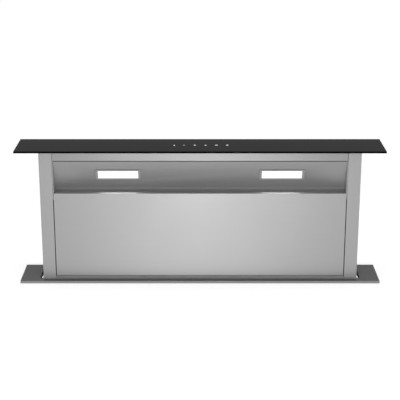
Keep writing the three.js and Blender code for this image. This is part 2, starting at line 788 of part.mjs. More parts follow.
// The scroll's rear wall carries the flared eye that leads air into the wheel.
function scrollCover() {
  const mouthY = casingFront + casingSheet;
  const throatY = wheelFront - eyeReach;
  const airSide = (turn) => [
    eyeRadius + eyeFlare * (1 - Math.sin(turn)),
    mouthY + (throatY - mouthY) * (1 - Math.cos(turn)),
  ];
  const steps = 6;
  const turns = Array.from({ length: steps + 1 }, (_, i) => (i / steps) * (Math.PI / 2));
  const path = turns.map(airSide);
  const profile = folded(path, scrollSheet).map(([radius, y]) => new THREE.Vector2(radius, y));
  const eye = new THREE.LatheGeometry([...profile, profile[0].clone()], eyeSides);
  eye.translate(0, 0, fanZ);
  const wallMiddle = (coverFront + scrollRear) / 2;
  const atWall = Math.acos(1 - (wallMiddle - mouthY) / (throatY - mouthY));
  const [radiusAtWall] = airSide(atWall);
  const wallOutline = scrollOutline(-scrollRim.reach, outletZ);
  const wall = prism('y', [coverFront, scrollRear], wallOutline);
  const through = past([coverFront, scrollRear]);
  const opening = rod('y', through, radiusAtWall + scrollSheet / 2, [0, fanZ], eyeSides);
  place('scroll_cover', join(cut(wall, opening), toSolid(eye)), blackPlastic);
}

// A wheel of forward-curved blades between a back plate and a front ring.
function fanWheel() {
  const centre = [0, fanZ];
  const plateY = wheelFront - wheel.width;
  const plate = rod('y', [plateY, plateY + wheel.plate], wheel.outer, centre, eyeSides);
  const ringY = [wheelFront - wheel.ring, wheelFront];
  const ring = rod('y', ringY, wheel.outer, centre, eyeSides);
  const eye = rod('y', past(ringY), wheel.inner, centre, eyeSides);
  const stations = [0, 1 / 3, 2 / 3, 1];
  const heel = wheel.inner + blade.heel;
  const tip = wheel.outer - blade.tip;
  const blades = Array.from({ length: blade.count }, (_, i) => {
    const foot = (i / blade.count) * 2 * Math.PI;
    const path = stations.map((station) => {
      const radius = heel + station * (tip - heel);
      const angle = foot - blade.sweep * station ** 2;
      return [radius * Math.cos(angle), fanZ + radius * Math.sin(angle)];
    });
    const limits = [plateY + wheel.plate / 2, wheelFront - wheel.ring / 2];
    return prism('y', limits, folded(path, blade.sheet));
  });
  const boss = rod('y', [plateY + wheel.plate / 2, plateY + hub.length], hub.radius, centre);
  const keyed = rod('y', past([plateY, plateY + hub.length]), fanShaft.radius + seat, centre);
  place('fan_wheel', cut(join(plate, cut(ring, eye), ...blades, boss), keyed), galvanised);
}

function fanMotorAndShaft() {
  const centre = [0, fanZ];
  const disc = (y, radius) => rod('y', y, radius, centre, eyeSides);
  const motorRear = scrollFront - seat;
  const flangeFront = motorRear - fanMotor.flangeThick;
  const canFront = flangeFront - fanMotor.length;
  const bossEnd = motorRear + scrollSheet + fanMotorBoss.reach;
  const socketStart = bossEnd - fanMotorBoss.socket;
  const mounting = disc([flangeFront, motorRear], fanMotor.flange);
  const can = disc([canFront, flangeFront + bite], fanMotor.radius);
  const endBell = disc([canFront - fanMotor.bell, canFront + bite], fanMotor.bellRadius);
  const boss = disc([motorRear - bite, bossEnd], fanMotorBoss.radius);
  const socket = bore('y', [socketStart, bossEnd + overrun], fanShaft.radius, centre);
  const bellFront = canFront - fanMotor.bell;
  const ventLength = fanMotorVent.end - fanMotorVent.start;
  const vents = Array.from({ length: fanMotorVent.count }, (_, i) => {
    const vent = new THREE.BoxGeometry(ventLength, 2 * fanMotorVent.depth, fanMotorVent.width);
    vent.translate(fanMotorVent.start + ventLength / 2, bellFront, 0);
    const turn = (i / fanMotorVent.count) * 2 * Math.PI;
    return toSolid(vent.rotateY(turn).translate(0, 0, fanZ));
  });
  const shell = join(mounting, can, endBell, boss);
  place('fan_motor', cut(shell, socket, ...vents), galvanised);
  const shaftEnd = wheelFront - wheel.width + hub.length;
  const shaft = rod('y', [socketStart + running, shaftEnd], fanShaft.radius, centre);
  place('fan_shaft', shaft, gearSteel);
}

// ---------- Round outlet with two sprung flaps ----------

function outlet() {
  const centre = [outletX, outletY];
  const top = outletZ - seat;
  const bottom = top - collar.length;
  const inner = collar.outer - collar.wall;
  const plate = block(
    [tongue.x - collar.plateMargin, scrollEnd + collar.plateMargin],
    [scrollFront - collar.plateMargin, scrollRear - seat],
    [top - collar.plate, top],
  );
  const spigot = rod('z', [bottom, top - bite], collar.outer, centre, eyeSides);
  const duct = rod('z', past([bottom, top]), inner, centre, eyeSides);
  const beadZ = around(bottom + collarBead.up, collarBead.width);
  const hoseBead = rod('z', beadZ, collar.outer + collarBead.rise, centre, eyeSides);
  place('outlet_collar', cut(join(plate, spigot, hoseBead), duct), blackPlastic);

  const pinZ = top - collar.plate - flapPin.drop;
  const pinAxis = [outletY, pinZ];
  const pinReach = inner * Math.cos(Math.PI / eyeSides) - seat;
  const pinX = grown([outletX, outletX], pinReach);
  place('flap_pin', rod('x', pinX, flapPin.radius, pinAxis, smallSides), gearSteel);

  const leaf = (name, side, knuckles) => {
    const radius = inner - flap.clear;
    const edge = flap.knuckle + flap.gap;
    const start = Math.asin(edge / radius);
    const steps = 16;
    const outline = Array.from({ length: steps + 1 }, (_, i) => {
      const angle = start + ((Math.PI - 2 * start) * i) / steps;
      return [outletX + radius * Math.cos(angle), outletY + side * radius * Math.sin(angle)];
    });
    const sheet = around(pinZ, flap.sheet);
    const barrels = knuckles.map(([from, to]) => {
      const x = [outletX + from, outletX + to];
      const tab = block(x, [outletY, outletY + side * (edge + bite)], sheet);
      return join(tab, rod('x', x, flap.knuckle, pinAxis, smallSides));
    });
    const hole = bore('x', past(pinX), flapPin.radius, pinAxis, smallSides);
    place(name, cut(join(prism('z', sheet, outline), ...barrels), hole), blackPlastic);
  };
  leaf('flap_front', -1, [[-flap.end, -flap.split], [flap.split, flap.end]]);
  leaf('flap_rear', 1, [span(flap.split - flap.gap)]);
}

// ---------- Control box on the casing's front ----------

function controls() {
  const boxEnd = controlBox.inset - casingEnd;
  const x = [boxEnd, boxEnd + controlBox.width];
  const middleX = boxEnd + controlBox.width / 2;
  const rear = casingFront - seat;
  const faceY = rear - controlBox.depth;
  const z = [-controlBox.drop - controlBox.height, -controlBox.drop];
  const wall = controlBox.sheet;
  const cavityX = grown(x, -wall);
  const cavityZ = grown(z, -wall);
  const boardX = grown(cavityX, -controlBoard.margin);
  const boardZ = grown(cavityZ, -controlBoard.margin);
  const glandAt = [middleX, (rear + faceY) / 2];
  const glandHole = rod('z', past([z[0], z[0] + wall]), gland.radius + seat, glandAt);
  const boardRear = rear - wall - controlBoard.stand;
  const postY = [boardRear + seat, rear - wall / 2];
  const posts = grown(boardX, -controlBoard.postInset).flatMap((postX) =>
    grown(boardZ, -controlBoard.postInset).map((postZ) =>
      rod('y', postY, controlBoard.post, [postX, postZ], smallSides),
    ),
  );
  const cavity = block(cavityX, [faceY - overrun, rear - wall], cavityZ);
  const tray = cut(block(x, [faceY, rear], z), cavity, glandHole);
  const middleZ = (z[0] + z[1]) / 2;
  const earY = [rear - wall, rear];
  const ears = block(grown(x, controlEar.reach), earY, around(middleZ, controlEar.height));
  const earHoles = grown(x, controlEar.reach / 2).map((earX) =>
    rod('y', past(earY), controlEar.hole, [earX, middleZ], smallSides),
  );
  place('control_box', cut(join(tray, ...posts, ears), ...earHoles), galvanised);

  const lidY = [faceY - seat - controlLid.sheet, faceY - seat];
  const louvreZ = [z[1] - louvre.top - louvre.height, z[1] - louvre.top];
  const louvres = Array.from({ length: louvre.count }, (_, i) => {
    const louvreX = middleX + (i - (louvre.count - 1) / 2) * louvre.pitch;
    return block(around(louvreX, louvre.width), past(lidY), louvreZ);
  });
  const lid = cut(block(x, lidY, z), ...louvres);
  const lipX = grown(cavityX, -seat);
  const lipZ = grown(cavityZ, -seat);
  const lipEnd = faceY + controlLid.lip;
  const lipHollow = [faceY - seat, lipEnd + overrun];
  const lidLip = cut(
    block(lipX, [faceY - bite, lipEnd], lipZ),
    block(grown(lipX, -controlLid.sheet), lipHollow, grown(lipZ, -controlLid.sheet)),
  );
  place('control_box_cover', join(lid, lidLip), galvanised);

  const boardFace = boardRear - controlBoard.thickness;
  const fitted = (item, shift = 0) => {
    const itemX = boardX[0] + item.x + shift;
    const itemZ = boardZ[0] + item.z;
    const itemY = [boardFace - item.rise, boardFace + controlBoard.thickness / 2];
    return item.radius
      ? rod('y', itemY, item.radius, [itemX, itemZ], smallSides)
      : block([itemX, itemX + item.width], itemY, [itemZ, itemZ + item.height]);
  };
  const board = join(
    block(boardX, [boardFace, boardRear], boardZ),
    fitted(transformer),
    fitted(relay),
    fitted(relay, relay.pitch),
    fitted(terminals),
    fitted(capacitor),
  );
  place('control_board', board, circuitBoard);

  const seatZ = z[0] - seat;
  const glandZ = [seatZ - gland.length, z[0] + wall + gland.stub];
  const nut = rod('z', [seatZ - gland.nutHeight, seatZ], gland.nut, glandAt, hexagon);
  const barrel = rod('z', glandZ, gland.radius, glandAt);
  const hole = rod('z', past(glandZ), gland.bore, glandAt);
  place('cable_gland', cut(join(nut, barrel), hole), blackPlastic);
}

// ---------- Clamps that draw the flange down on the worktop ----------

function worktopClamps() {
  const footTop = -worktopThickness - clamp.gap;
  const y = span(clamp.width / 2);
  both((side, name) => {
    const wallX = casingEnd + seat;
    const path = [
      [wallX + clamp.foot, footTop],
      [wallX, footTop],
      [wallX, footTop - clamp.leg],
    ];
    const at = [side * (wallX + clamp.foot / 2 + clamp.sheet), 0];
    const bracket = prism('y', y, sided(side, folded(path, clamp.sheet)));
    const footZ = past([footTop - clamp.sheet, footTop]);
    const hole = rod('z', footZ, clampScrew.radius + seat, at, smallSides);
    place(`worktop_clamp_${name}`, cut(bracket, hole), galvanised);
    const padTop = -worktopThickness;
    const shankEnd = footTop - clampScrew.tail;
    const pad = rod('z', [padTop - clampScrew.padThick, padTop], clampScrew.pad, at);
    const shank = rod('z', [shankEnd, padTop - bite], clampScrew.radius, at, smallSides);
    const headZ = [shankEnd - clampScrew.headHeight, shankEnd + bite];
    const head = rod('z', headZ, clampScrew.head, at, hexagon);
    place(`clamp_screw_${name}`, join(pad, shank, head), gearSteel);
  });
}

glassLid();
lidTray();
touchControl();
stiles();
recessCheeks();
lintel();
lampFascia();
lamps();
frontPanel();
backPanel();
towerSill();
greaseFilters();
flange();
flangeSeal();
wipers();
casing();
glides();
liftDrive();
scroll();
scrollCover();
fanWheel();
fanMotorAndShaft();
outlet();
controls();
worktopClamps();

export default downdraftVent;
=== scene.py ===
# Looks of a downdraft vent: finishes, soft edges and small fittings round the fixed frame.
# Metres; +Z up; the user's side faces -Y.
import json
import math

import bmesh
import bpy
from mathutils import Matrix, Vector

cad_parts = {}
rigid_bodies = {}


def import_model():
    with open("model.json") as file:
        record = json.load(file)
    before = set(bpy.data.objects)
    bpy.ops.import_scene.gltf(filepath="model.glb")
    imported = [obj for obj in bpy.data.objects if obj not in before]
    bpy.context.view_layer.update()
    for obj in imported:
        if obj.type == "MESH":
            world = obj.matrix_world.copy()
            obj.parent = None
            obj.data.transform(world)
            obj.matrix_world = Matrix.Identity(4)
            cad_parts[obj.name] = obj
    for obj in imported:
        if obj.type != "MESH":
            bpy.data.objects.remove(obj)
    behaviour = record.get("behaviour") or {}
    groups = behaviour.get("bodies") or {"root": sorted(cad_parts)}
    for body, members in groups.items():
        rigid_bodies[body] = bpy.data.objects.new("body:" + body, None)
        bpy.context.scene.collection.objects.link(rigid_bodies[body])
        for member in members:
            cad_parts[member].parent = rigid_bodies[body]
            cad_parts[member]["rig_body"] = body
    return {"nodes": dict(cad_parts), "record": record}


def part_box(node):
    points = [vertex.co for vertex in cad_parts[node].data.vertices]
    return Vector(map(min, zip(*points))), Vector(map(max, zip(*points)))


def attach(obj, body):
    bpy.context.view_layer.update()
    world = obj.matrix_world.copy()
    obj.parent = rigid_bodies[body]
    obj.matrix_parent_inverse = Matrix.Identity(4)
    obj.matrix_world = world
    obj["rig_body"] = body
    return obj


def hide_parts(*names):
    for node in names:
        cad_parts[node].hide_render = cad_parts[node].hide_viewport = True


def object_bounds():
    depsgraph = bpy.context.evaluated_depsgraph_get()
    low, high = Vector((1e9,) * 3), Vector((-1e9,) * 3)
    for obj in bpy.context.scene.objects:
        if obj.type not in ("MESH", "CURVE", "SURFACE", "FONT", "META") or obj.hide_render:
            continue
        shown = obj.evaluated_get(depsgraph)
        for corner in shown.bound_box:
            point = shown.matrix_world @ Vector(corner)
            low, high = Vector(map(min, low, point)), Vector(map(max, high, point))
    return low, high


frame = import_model()
cad_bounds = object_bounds()
MM = 0.001
MERGE = 0.004 * MM
FLAT_ANGLE = math.radians(1)
SHARP_ANGLE = math.radians(30)
SMOOTH_ANGLE = math.radians(50)
GRAIN_MAP = "grain"


# ---------- Camera ----------

FRAME_WIDTH = 400.0
FOCAL_PIXELS = 1123.6
SENSOR_MM = 36.0
CAMERA_PITCH = math.radians(17.82)
CAMERA_BACK = 2551.7 * MM  # camera to the glass's front edge, level
CAMERA_ABOVE = 700.7 * MM  # camera above the glass's top


def add_camera():
    low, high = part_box("glass_lid")
    data = bpy.data.cameras.new("camera")
    data.sensor_width = SENSOR_MM
    data.lens = FOCAL_PIXELS / FRAME_WIDTH * SENSOR_MM
    camera = bpy.data.objects.new("camera", data)
    camera.location = (0, low.y - CAMERA_BACK, high.z + CAMERA_ABOVE)
    camera.rotation_euler = (math.pi / 2 - CAMERA_PITCH, 0, 0)
    bpy.context.scene.collection.objects.link(camera)
    bpy.context.scene.camera = camera


# ---------- Shader helpers ----------


def feed(links, target, value):
    """Links an input to a socket, or sets it to a value."""
    if isinstance(value, bpy.types.NodeSocket):
        links.new(value, target)
    else:
        target.default_value = value


def calculate(nodes, links, operation, *values):
    """What one Math node makes of numbers and sockets."""
    node = nodes.new("ShaderNodeMath")
    node.operation = operation
    for target, value in zip(node.inputs, values):
        feed(links, target, value)
    return node.outputs["Value"]


class Shader:
    """A node-based material being built."""

    def __init__(self, name):
        self.material = bpy.data.materials.new(name)
        self.material.use_nodes = True
        self.nodes = self.material.node_tree.nodes
        self.links = self.material.node_tree.links
        self.surface = self.nodes["Principled BSDF"]
        self.output = self.nodes["Material Output"]

    def add(self, kind, **inputs):
        node = self.nodes.new("ShaderNode" + kind)
        for key, value in inputs.items():
            name = key.replace("_", " ")
            target = node.inputs[name] if name in node.inputs else node.inputs[key]
            feed(self.links, target, value)
        return node

    def set(self, **inputs):
        for key, value in inputs.items():
            feed(self.links, self.surface.inputs[key.replace("_", " ")], value)

    def place(self, scale=(1, 1, 1)):
        """Object coordinates, stretched."""
        source = self.nodes.new("ShaderNodeTexCoord").outputs["Object"]
        return self.add("Mapping", Vector=source, Scale=scale).outputs["Vector"]

    def noise(self, scale, stretch=(1, 1, 1), detail=3.0, roughness=0.5):
        node = self.add(
            "TexNoise", Vector=self.place(stretch), Scale=scale, Detail=detail, Roughness=roughness
        )
        return node.outputs["Fac"]

    def cells(self, scale):
        """A random tone for each of a field of cells."""
        return self.add("TexVoronoi", Vector=self.place(), Scale=scale).outputs["Color"]

    def between(self, factor, low, high, start=0.3, end=0.7):
        """Maps a factor to a range of numbers."""
        node = self.add("MapRange", Value=factor)
        node.inputs["From Min"].default_value = start
        node.inputs["From Max"].default_value = end
        node.inputs["To Min"].default_value = low
        node.inputs["To Max"].default_value = high
        return node.outputs["Result"]

    def tint(self, factor, dark, light, start=0.3, end=0.7):
        """Maps a factor to a blend of two colours."""
        node = self.add("ValToRGB", Fac=factor)
        node.color_ramp.elements[0].position = start
        node.color_ramp.elements[0].color = (*dark, 1)
        node.color_ramp.elements[1].position = end
        node.color_ramp.elements[1].color = (*light, 1)
        return node.outputs["Color"]

    def blend(self, factor, first, second):
        """Goes from one colour to another as a factor goes from 0 to 1."""
        node = self.nodes.new("ShaderNodeMix")
        node.data_type = "RGBA"
        colours = [socket for socket in node.inputs if socket.type == "RGBA"]
        self.links.new(factor, node.inputs["Factor"])
        self.links.new(first, colours[0])
        self.links.new(second, colours[1])
        return next(socket for socket in node.outputs if socket.type == "RGBA")

    def streaks(self, roughness=0.5):
        """Fine lines along X, as a brush leaves them."""
        return self.noise(4.0, (1.0, 300.0, 300.0), detail=3.0, roughness=roughness)

    def grain(self):
        """The direction across the grain, from the piece's grain map."""
        node = self.nodes.new("ShaderNodeTangent")
        node.direction_type = "UV_MAP"
        node.uv_map = GRAIN_MAP
        return node.outputs["Tangent"]

    def bump(self, height, strength, distance=0.0002):
        node = self.add("Bump", Height=height, Strength=strength, Distance=distance)
        self.links.new(node.outputs["Normal"], self.surface.inputs["Normal"])


def grey(level, warm=0.0):
    return (level * (1 + warm), level, level * (1 - warm))


# ---------- Finishes ----------


STEEL_TONE = 0.322
STEEL_ROUGHNESS = 0.45
STEEL_ANISOTROPY = 0.65
DULL_ROUGHNESS = 0.56
DULL_ANISOTROPY = 0.3


def brushed_shader(name, roughness, anisotropy):
    """The grain, streaks and uneven polish of brushed steel, still without its tone."""
    shader = Shader(name)
    streaks = shader.streaks(roughness=0.6)
    clouds = shader.noise(6.0, detail=2.0)
    shader.set(
        Roughness=shader.between(clouds, roughness - 0.01, roughness + 0.02),
        Anisotropic=anisotropy,
        Tangent=shader.grain(),
    )
    shader.bump(streaks, 0.02)
    return shader, streaks


def brushed_steel(
    name, tone=STEEL_TONE, roughness=STEEL_ROUGHNESS, anisotropy=STEEL_ANISOTROPY, metallic=1.0
):
    """Stainless steel whose grain follows each piece's grain map."""
    shader, streaks = brushed_shader(name, roughness, anisotropy)
    shader.set(
        Base_Color=shader.tint(streaks, grey(tone * 0.985), grey(tone * 1.015)),
        Metallic=metallic,
    )
    return shader.material


LIP_HEIGHT = 20 * MM
CREASE_BLEND = 0.4 * MM


def recess_steel_painted_lip_light():
    """The recess's steel: its lip, under the crease, is painted paler, which is painted light on the lip,
    and is duller than the slope above it.
    """
    shader, streaks = brushed_shader("recess_steel_painted_lip_light", DULL_ROUGHNESS, DULL_ANISOTROPY)
    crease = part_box("lamp_fascia")[0].z + LIP_HEIGHT
    height = shader.add("SeparateXYZ", Vector=shader.place()).outputs["Z"]
    above = shader.between(height, 0.0, 1.0, crease - CREASE_BLEND, crease + CREASE_BLEND)
    # Painted light: the tone under the crease is paler than the slope's.
    lip = shader.tint(streaks, grey(0.385), grey(0.395))
    slope = shader.tint(streaks, grey(0.325), grey(0.335))
    shader.set(
        Base_Color=shader.blend(above, lip, slope),
        Metallic=shader.between(above, 0.15, 0.6),
    )
    return shader.material


def flange_steel():
    """Satin steel whose top is painted darker than its rim: a painted reflection of dark surroundings in
    the top.
    """
    shader = Shader("flange_steel")
    streaks = shader.streaks()
    clouds = shader.noise(9.0, detail=2.0)
    normal = shader.nodes.new("ShaderNodeTexCoord").outputs["Normal"]
    up = shader.add("SeparateXYZ", Vector=normal).outputs["Z"]
    # Painted reflection: faces that look up get a darker tone than the rim.
    face = shader.tint(streaks, grey(0.12, -0.003), grey(0.13, -0.003))
    rim = shader.tint(streaks, grey(0.27, -0.01), grey(0.29, -0.01))
    shader.set(
        Base_Color=shader.blend(shader.between(up, 0.0, 1.0, 0.3, 0.9), rim, face),
        Metallic=0.5,
        IOR=1.2,
        Specular_Tint=(0.2, 0.2, 0.2, 1),
        Roughness=shader.between(clouds, 0.2, 0.24),
        Anisotropic=0.3,
        Tangent=shader.grain(),
    )
    return shader.material


def black_glass():
    """Glass of a low index, so that it mirrors the white background only faintly."""
    shader = Shader("black_glass")
    smudge = shader.noise(18.0, detail=3.0)
    shader.set(
        Base_Color=shader.tint(smudge, grey(0.0012), grey(0.0018)),
        Roughness=shader.between(smudge, 0.015, 0.03),
        IOR=1.05,
    )
    return shader.material


def lamp_light():
    shader = Shader("lamp_lens")
    ribs = shader.add("TexWave", Vector=shader.place(), Scale=180.0)
    shader.set(
        Base_Color=(0.8, 0.8, 0.8, 1),
        Roughness=0.35,
        Emission_Color=shader.tint(ribs.outputs["Fac"], grey(0.97), grey(1.0)),
        Emission_Strength=0.65,
    )
    return shader.material


def symbol_light(name, strength):
    shader = Shader(name)
    shader.set(
        Base_Color=shader.tint(shader.noise(400.0), grey(0.05), grey(0.07)),
        Roughness=0.3,
        Emission_Color=(0.92, 0.94, 1.0, 1),
        Emission_Strength=strength,
    )
    return shader.material


def galvanised():
    shader = Shader("galvanised")
    flakes = shader.cells(75.0)
    haze = shader.noise(7.0, detail=4.0)
    shader.set(
        Base_Color=shader.tint(flakes, grey(0.44, -0.01), grey(0.6, -0.01), 0.1, 0.9),
        Metallic=0.85,
        Roughness=shader.between(haze, 0.36, 0.52),
    )
    shader.bump(haze, 0.05)
    return shader.material


def plain(name, dark, light, rough, metallic=0.0, scale=60.0, bump=0.04):
    """A moulded, painted or machined finish with fine variation."""
    shader = Shader(name)
    speck = shader.noise(scale, detail=5.0, roughness=0.6)
    wear = shader.noise(scale / 8, detail=3.0)
    shader.set(
        Base_Color=shader.tint(speck, dark, light),
        Metallic=metallic,
        Roughness=shader.between(wear, rough - 0.05, rough + 0.07),
    )
    shader.bump(speck, bump)
    return shader.material


def circuit_board():
    shader = Shader("circuit_board")
    tracks = shader.add("TexBrick", Vector=shader.place(), Scale=120.0)
    tracks.inputs["Color1"].default_value = (0.01, 0.08, 0.035, 1)
    tracks.inputs["Color2"].default_value = (0.014, 0.11, 0.05, 1)
    tracks.inputs["Mortar"].default_value = (0.05, 0.2, 0.09, 1)
    tracks.inputs["Mortar Size"].default_value = 0.04
    shader.set(Base_Color=tracks.outputs["Color"], Roughness=0.4)
    return shader.material


def make_finishes():
    return {
        "brushed_steel": brushed_steel("brushed_steel"),
        "recess_steel_painted_lip_light": recess_steel_painted_lip_light(),
        # The cheeks' steel is painted paler than the rest: painted light on the recess's cheeks.
        "cheek_steel_painted_light": brushed_steel("cheek_steel_painted_light", 0.5, 0.5, DULL_ANISOTROPY, metallic=0.3),
        # The lintel's steel is painted darker than the rest: painted shade under the glass lid.
        "lintel_steel_painted_shade": brushed_steel("lintel_steel_painted_shade", 0.275),
        # The sill's steel is painted paler than the rest: painted light in the gap under the front panel.
        "sill_steel_painted_light": brushed_steel(
            "sill_steel_painted_light", 0.52, DULL_ROUGHNESS, DULL_ANISOTROPY, metallic=0.1
        ),
        "flange_steel": flange_steel(),
        "galvanised": galvanised(),
        "black_glass": black_glass(),
        "lamp_lens": lamp_light(),
        "lamp_bezel": plain("lamp_bezel", grey(0.37, 0.02), grey(0.41, 0.02), 0.42),
        "filter_metal": plain("filter_metal", grey(0.6), grey(0.72), 0.35, 1.0, 500.0, 0.3),
        "nylon": plain("nylon", grey(0.89), grey(0.93), 0.45),
        "rubber": plain("rubber", grey(0.011), grey(0.016), 0.8, scale=200.0),
        # Painted shadow: a dark ring round each lamp's bezel.
        "lamp_painted_shadow": plain("lamp_painted_shadow", grey(0.16), grey(0.2), 0.7, scale=200.0),
        # Painted shadow: a dark strip under the lintel.
        "lintel_painted_shadow": plain("lintel_painted_shadow", grey(0.045), grey(0.06), 0.7, scale=200.0),
        "lip_rubber": plain("lip_rubber", grey(0.19), grey(0.22), 0.7, scale=200.0),
        "black_plastic": plain("black_plastic", grey(0.018), grey(0.024), 0.5, scale=900.0, bump=0.1),
        "motor_paint": plain("motor_paint", grey(0.22), grey(0.27), 0.42, scale=300.0),
        "circuit_board": circuit_board(),
        "gear_steel": plain("gear_steel", grey(0.38), grey(0.46), 0.32, 1.0, 300.0),
    }


# ---------- Pieces made from the frame ----------


PANEL_FOLD = 3.4 * MM
EDGE_RADII = {  # millimetres
    "glass_lid": 0.2, "lid_tray": 0.3, "lintel": 0.3, "lamp_fascia": 0.3, "front_panel": 0.5,
    "stile_left": 0.45, "stile_right": 0.45, "back_panel": 0.45, "tower_sill": 0.3,
    "recess_cheek_left": 0.2, "recess_cheek_right": 0.2,
    "lamp_bezel_left": 0.3, "lamp_bezel_right": 0.3, "lamp_lens_left": 0.3, "lamp_lens_right": 0.3,
    "flange": 0.2, "casing_side_left": 0.4, "casing_side_right": 0.4, "casing_floor": 0.4,
    "control_box": 0.5, "control_box_cover": 0.6, "cable_gland": 0.6,
    "scroll_housing": 1.2, "fan_motor": 1.2, "lift_motor": 1.2, "outlet_collar": 0.5,
    "worktop_clamp_left": 0.5, "worktop_clamp_right": 0.5,
    "clamp_screw_left": 0.3, "clamp_screw_right": 0.3,
    "bearing_block_left": 0.8, "bearing_block_right": 0.8,
}
# Pieces with a finish of their own, whose tones hold painted light and shade: a paler recess lip, cheeks
# and sill, and a darker lintel.
OWN_FINISH = {
    "lamp_fascia": "recess_steel_painted_lip_light",
    "recess_cheek_left": "cheek_steel_painted_light", "recess_cheek_right": "cheek_steel_painted_light",
    "lintel": "lintel_steel_painted_shade", "tower_sill": "sill_steel_painted_light",
}


def close_mesh(shape, name, finish):
    """Ends the building of a shape and gives its mesh, in one finish."""
    mesh = bpy.data.meshes.new(name)
    shape.to_mesh(mesh)
    shape.free()
    mesh.materials.append(finish)
    return mesh


def show(name, mesh):
    """Puts a mesh in the scene."""
    piece = bpy.data.objects.new(name, mesh)
    bpy.context.scene.collection.objects.link(piece)
    return piece


def map_grain(shape):
    """Lays each face's map so that its U runs across a grain along X."""
    layer = shape.loops.layers.uv.new(GRAIN_MAP)
    for face in shape.faces:
        along = Vector((1, 0, 0)) if abs(face.normal.x) < 0.9 else Vector((0, 0, 1))
        across = face.normal.cross(along).normalized()
        for loop in face.loops:
            loop[layer].uv = (loop.vert.co.dot(across), loop.vert.co.dot(along))


def round_fold(shape, radius):
    """Rounds the lower front edge of a folded sheet with a wide bend."""
    front = min(vert.co.y for vert in shape.verts)
    foot = min(vert.co.z for vert in shape.verts)
    fold = [
        edge
        for edge in shape.edges
        if all(abs(v.co.y - front) < MERGE and abs(v.co.z - foot) < MERGE for v in edge.verts)
    ]
    bmesh.ops.bevel(shape, geom=fold, offset=radius, segments=6, affect="EDGES", profile=0.5)


def soften(node, finish, width, segments=2, fold=0.0):
    """A copy of a node's solid with rounded edges, which stands for the node."""
    source = frame["nodes"][node]
    shape = bmesh.new()
    shape.from_mesh(source.data)
    bmesh.ops.remove_doubles(shape, verts=shape.verts, dist=MERGE)
    bmesh.ops.dissolve_limit(
        shape, angle_limit=FLAT_ANGLE, verts=shape.verts, edges=shape.edges
    )
    if fold > 0:
        round_fold(shape, fold)
    sharp = [
        edge
        for edge in shape.edges
        if len(edge.link_faces) == 2 and edge.calc_face_angle(0) > SHARP_ANGLE
    ]
    bmesh.ops.bevel(
        shape, geom=sharp, offset=width, segments=segments, affect="EDGES",
        profile=0.5, clamp_overlap=True,
    )
    bmesh.ops.triangulate(shape, faces=[face for face in shape.faces if len(face.verts) > 4])
    map_grain(shape)
    name = node + "_skin"
    piece = add_piece(name, close_mesh(shape, name, finish), source["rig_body"])
    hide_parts(node)
    return piece


def add_piece(name, mesh, body):
    """Puts a mesh in the scene with flat faces kept flat and curved ones smooth."""
    piece = show(name, mesh)
    mesh.shade_smooth()
    mesh.set_sharp_from_angle(angle=SMOOTH_ANGLE)
    normals = piece.modifiers.new("flat_faces", "WEIGHTED_NORMAL")
    normals.keep_sharp = True
    normals.weight = 100
    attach(piece, body)
    return piece


def dress_frame(finishes):
    """Gives every node its slot's finish, and rounds the edges of those that show."""
    slots = {part["node"]: part["material_slot"] for part in frame["record"]["subparts"]}
    for node, cad in frame["nodes"].items():
        finish = finishes[OWN_FINISH.get(node, slots[node])]
        cad.data.materials.clear()
        cad.data.materials.append(finish)
        if node in EDGE_RADII:
            fold = PANEL_FOLD if node == "front_panel" else 0.0
            piece = soften(node, finish, EDGE_RADII[node] * MM, fold=fold)


# ---------- Small pieces ----------


def bridge(shape, low, high):
    """Joins two loops of points with a band of faces. A loop may be a single point."""
    steps = max(len(low), len(high))
    for i in range(steps):
        after = (i + 1) % steps
        corners = [low[i % len(low)], low[after % len(low)], high[after % len(high)], high[i % len(high)]]
        shape.faces.new(list(dict.fromkeys(corners)))


def turned(shape, profile, place, steps, flute=0.0, ends=True):
    """Adds a turned form to a mesh: its profile is (radius, height) pairs from the foot up."""
    rings = []
    for radius, height in profile:
        points = []
        for i in range(steps if radius > 0 else 1):
            turn = 2 * math.pi * i / steps
            reach = max(radius - flute * (i % 2), 0)
            points.append(Vector((reach * math.cos(turn), reach * math.sin(turn), height)))
        rings.append([shape.verts.new(place @ point) for point in points])
    for low, high in zip(rings, rings[1:]):
        bridge(shape, low, high)
    for end in (rings[0], rings[-1]):
        if ends and len(end) > 1:
            shape.faces.new(end)


def millimetres(profile):
    return [(radius * MM, height * MM) for radius, height in profile]


def facing(at, outward):
    """A place whose +Z points outward from a surface."""
    turn = Vector((0, 0, 1)).rotation_difference(Vector(outward))
    return Matrix.Translation(at) @ turn.to_matrix().to_4x4()


RIVET = millimetres([(3.2, 0), (3.1, 0.35), (2.3, 1.0), (1.2, 1.25), (1.0, 0.7), (0, 0.7)])
WASHER = millimetres([(4.4, 0), (4.4, 0.7), (4.1, 0.9), (2.9, 0.9), (2.9, 0.5)])
HEX_HEAD = millimetres([(3.4, 0.8), (3.4, 2.7), (2.9, 3.1), (1.6, 3.1), (1.3, 2.8), (0, 2.8)])
GROMMET = millimetres([(7.0, 0), (7.3, 0.8), (7.0, 1.8), (6.0, 2.4), (3.0, 2.4)])


def settle(shape, name, body, finish):
    """Turns a made shape into a piece of the scene."""
    bmesh.ops.recalc_face_normals(shape, faces=shape.faces[:])
    add_piece(name, close_mesh(shape, name, finish), body)


def fittings(name, body, finish, places, forms):
    """One piece made of the same turned forms set at several places."""
    shape = bmesh.new()
    for place in places:
        for profile, steps in forms:
            turned(shape, profile, place, steps)
    settle(shape, name, body, finish)


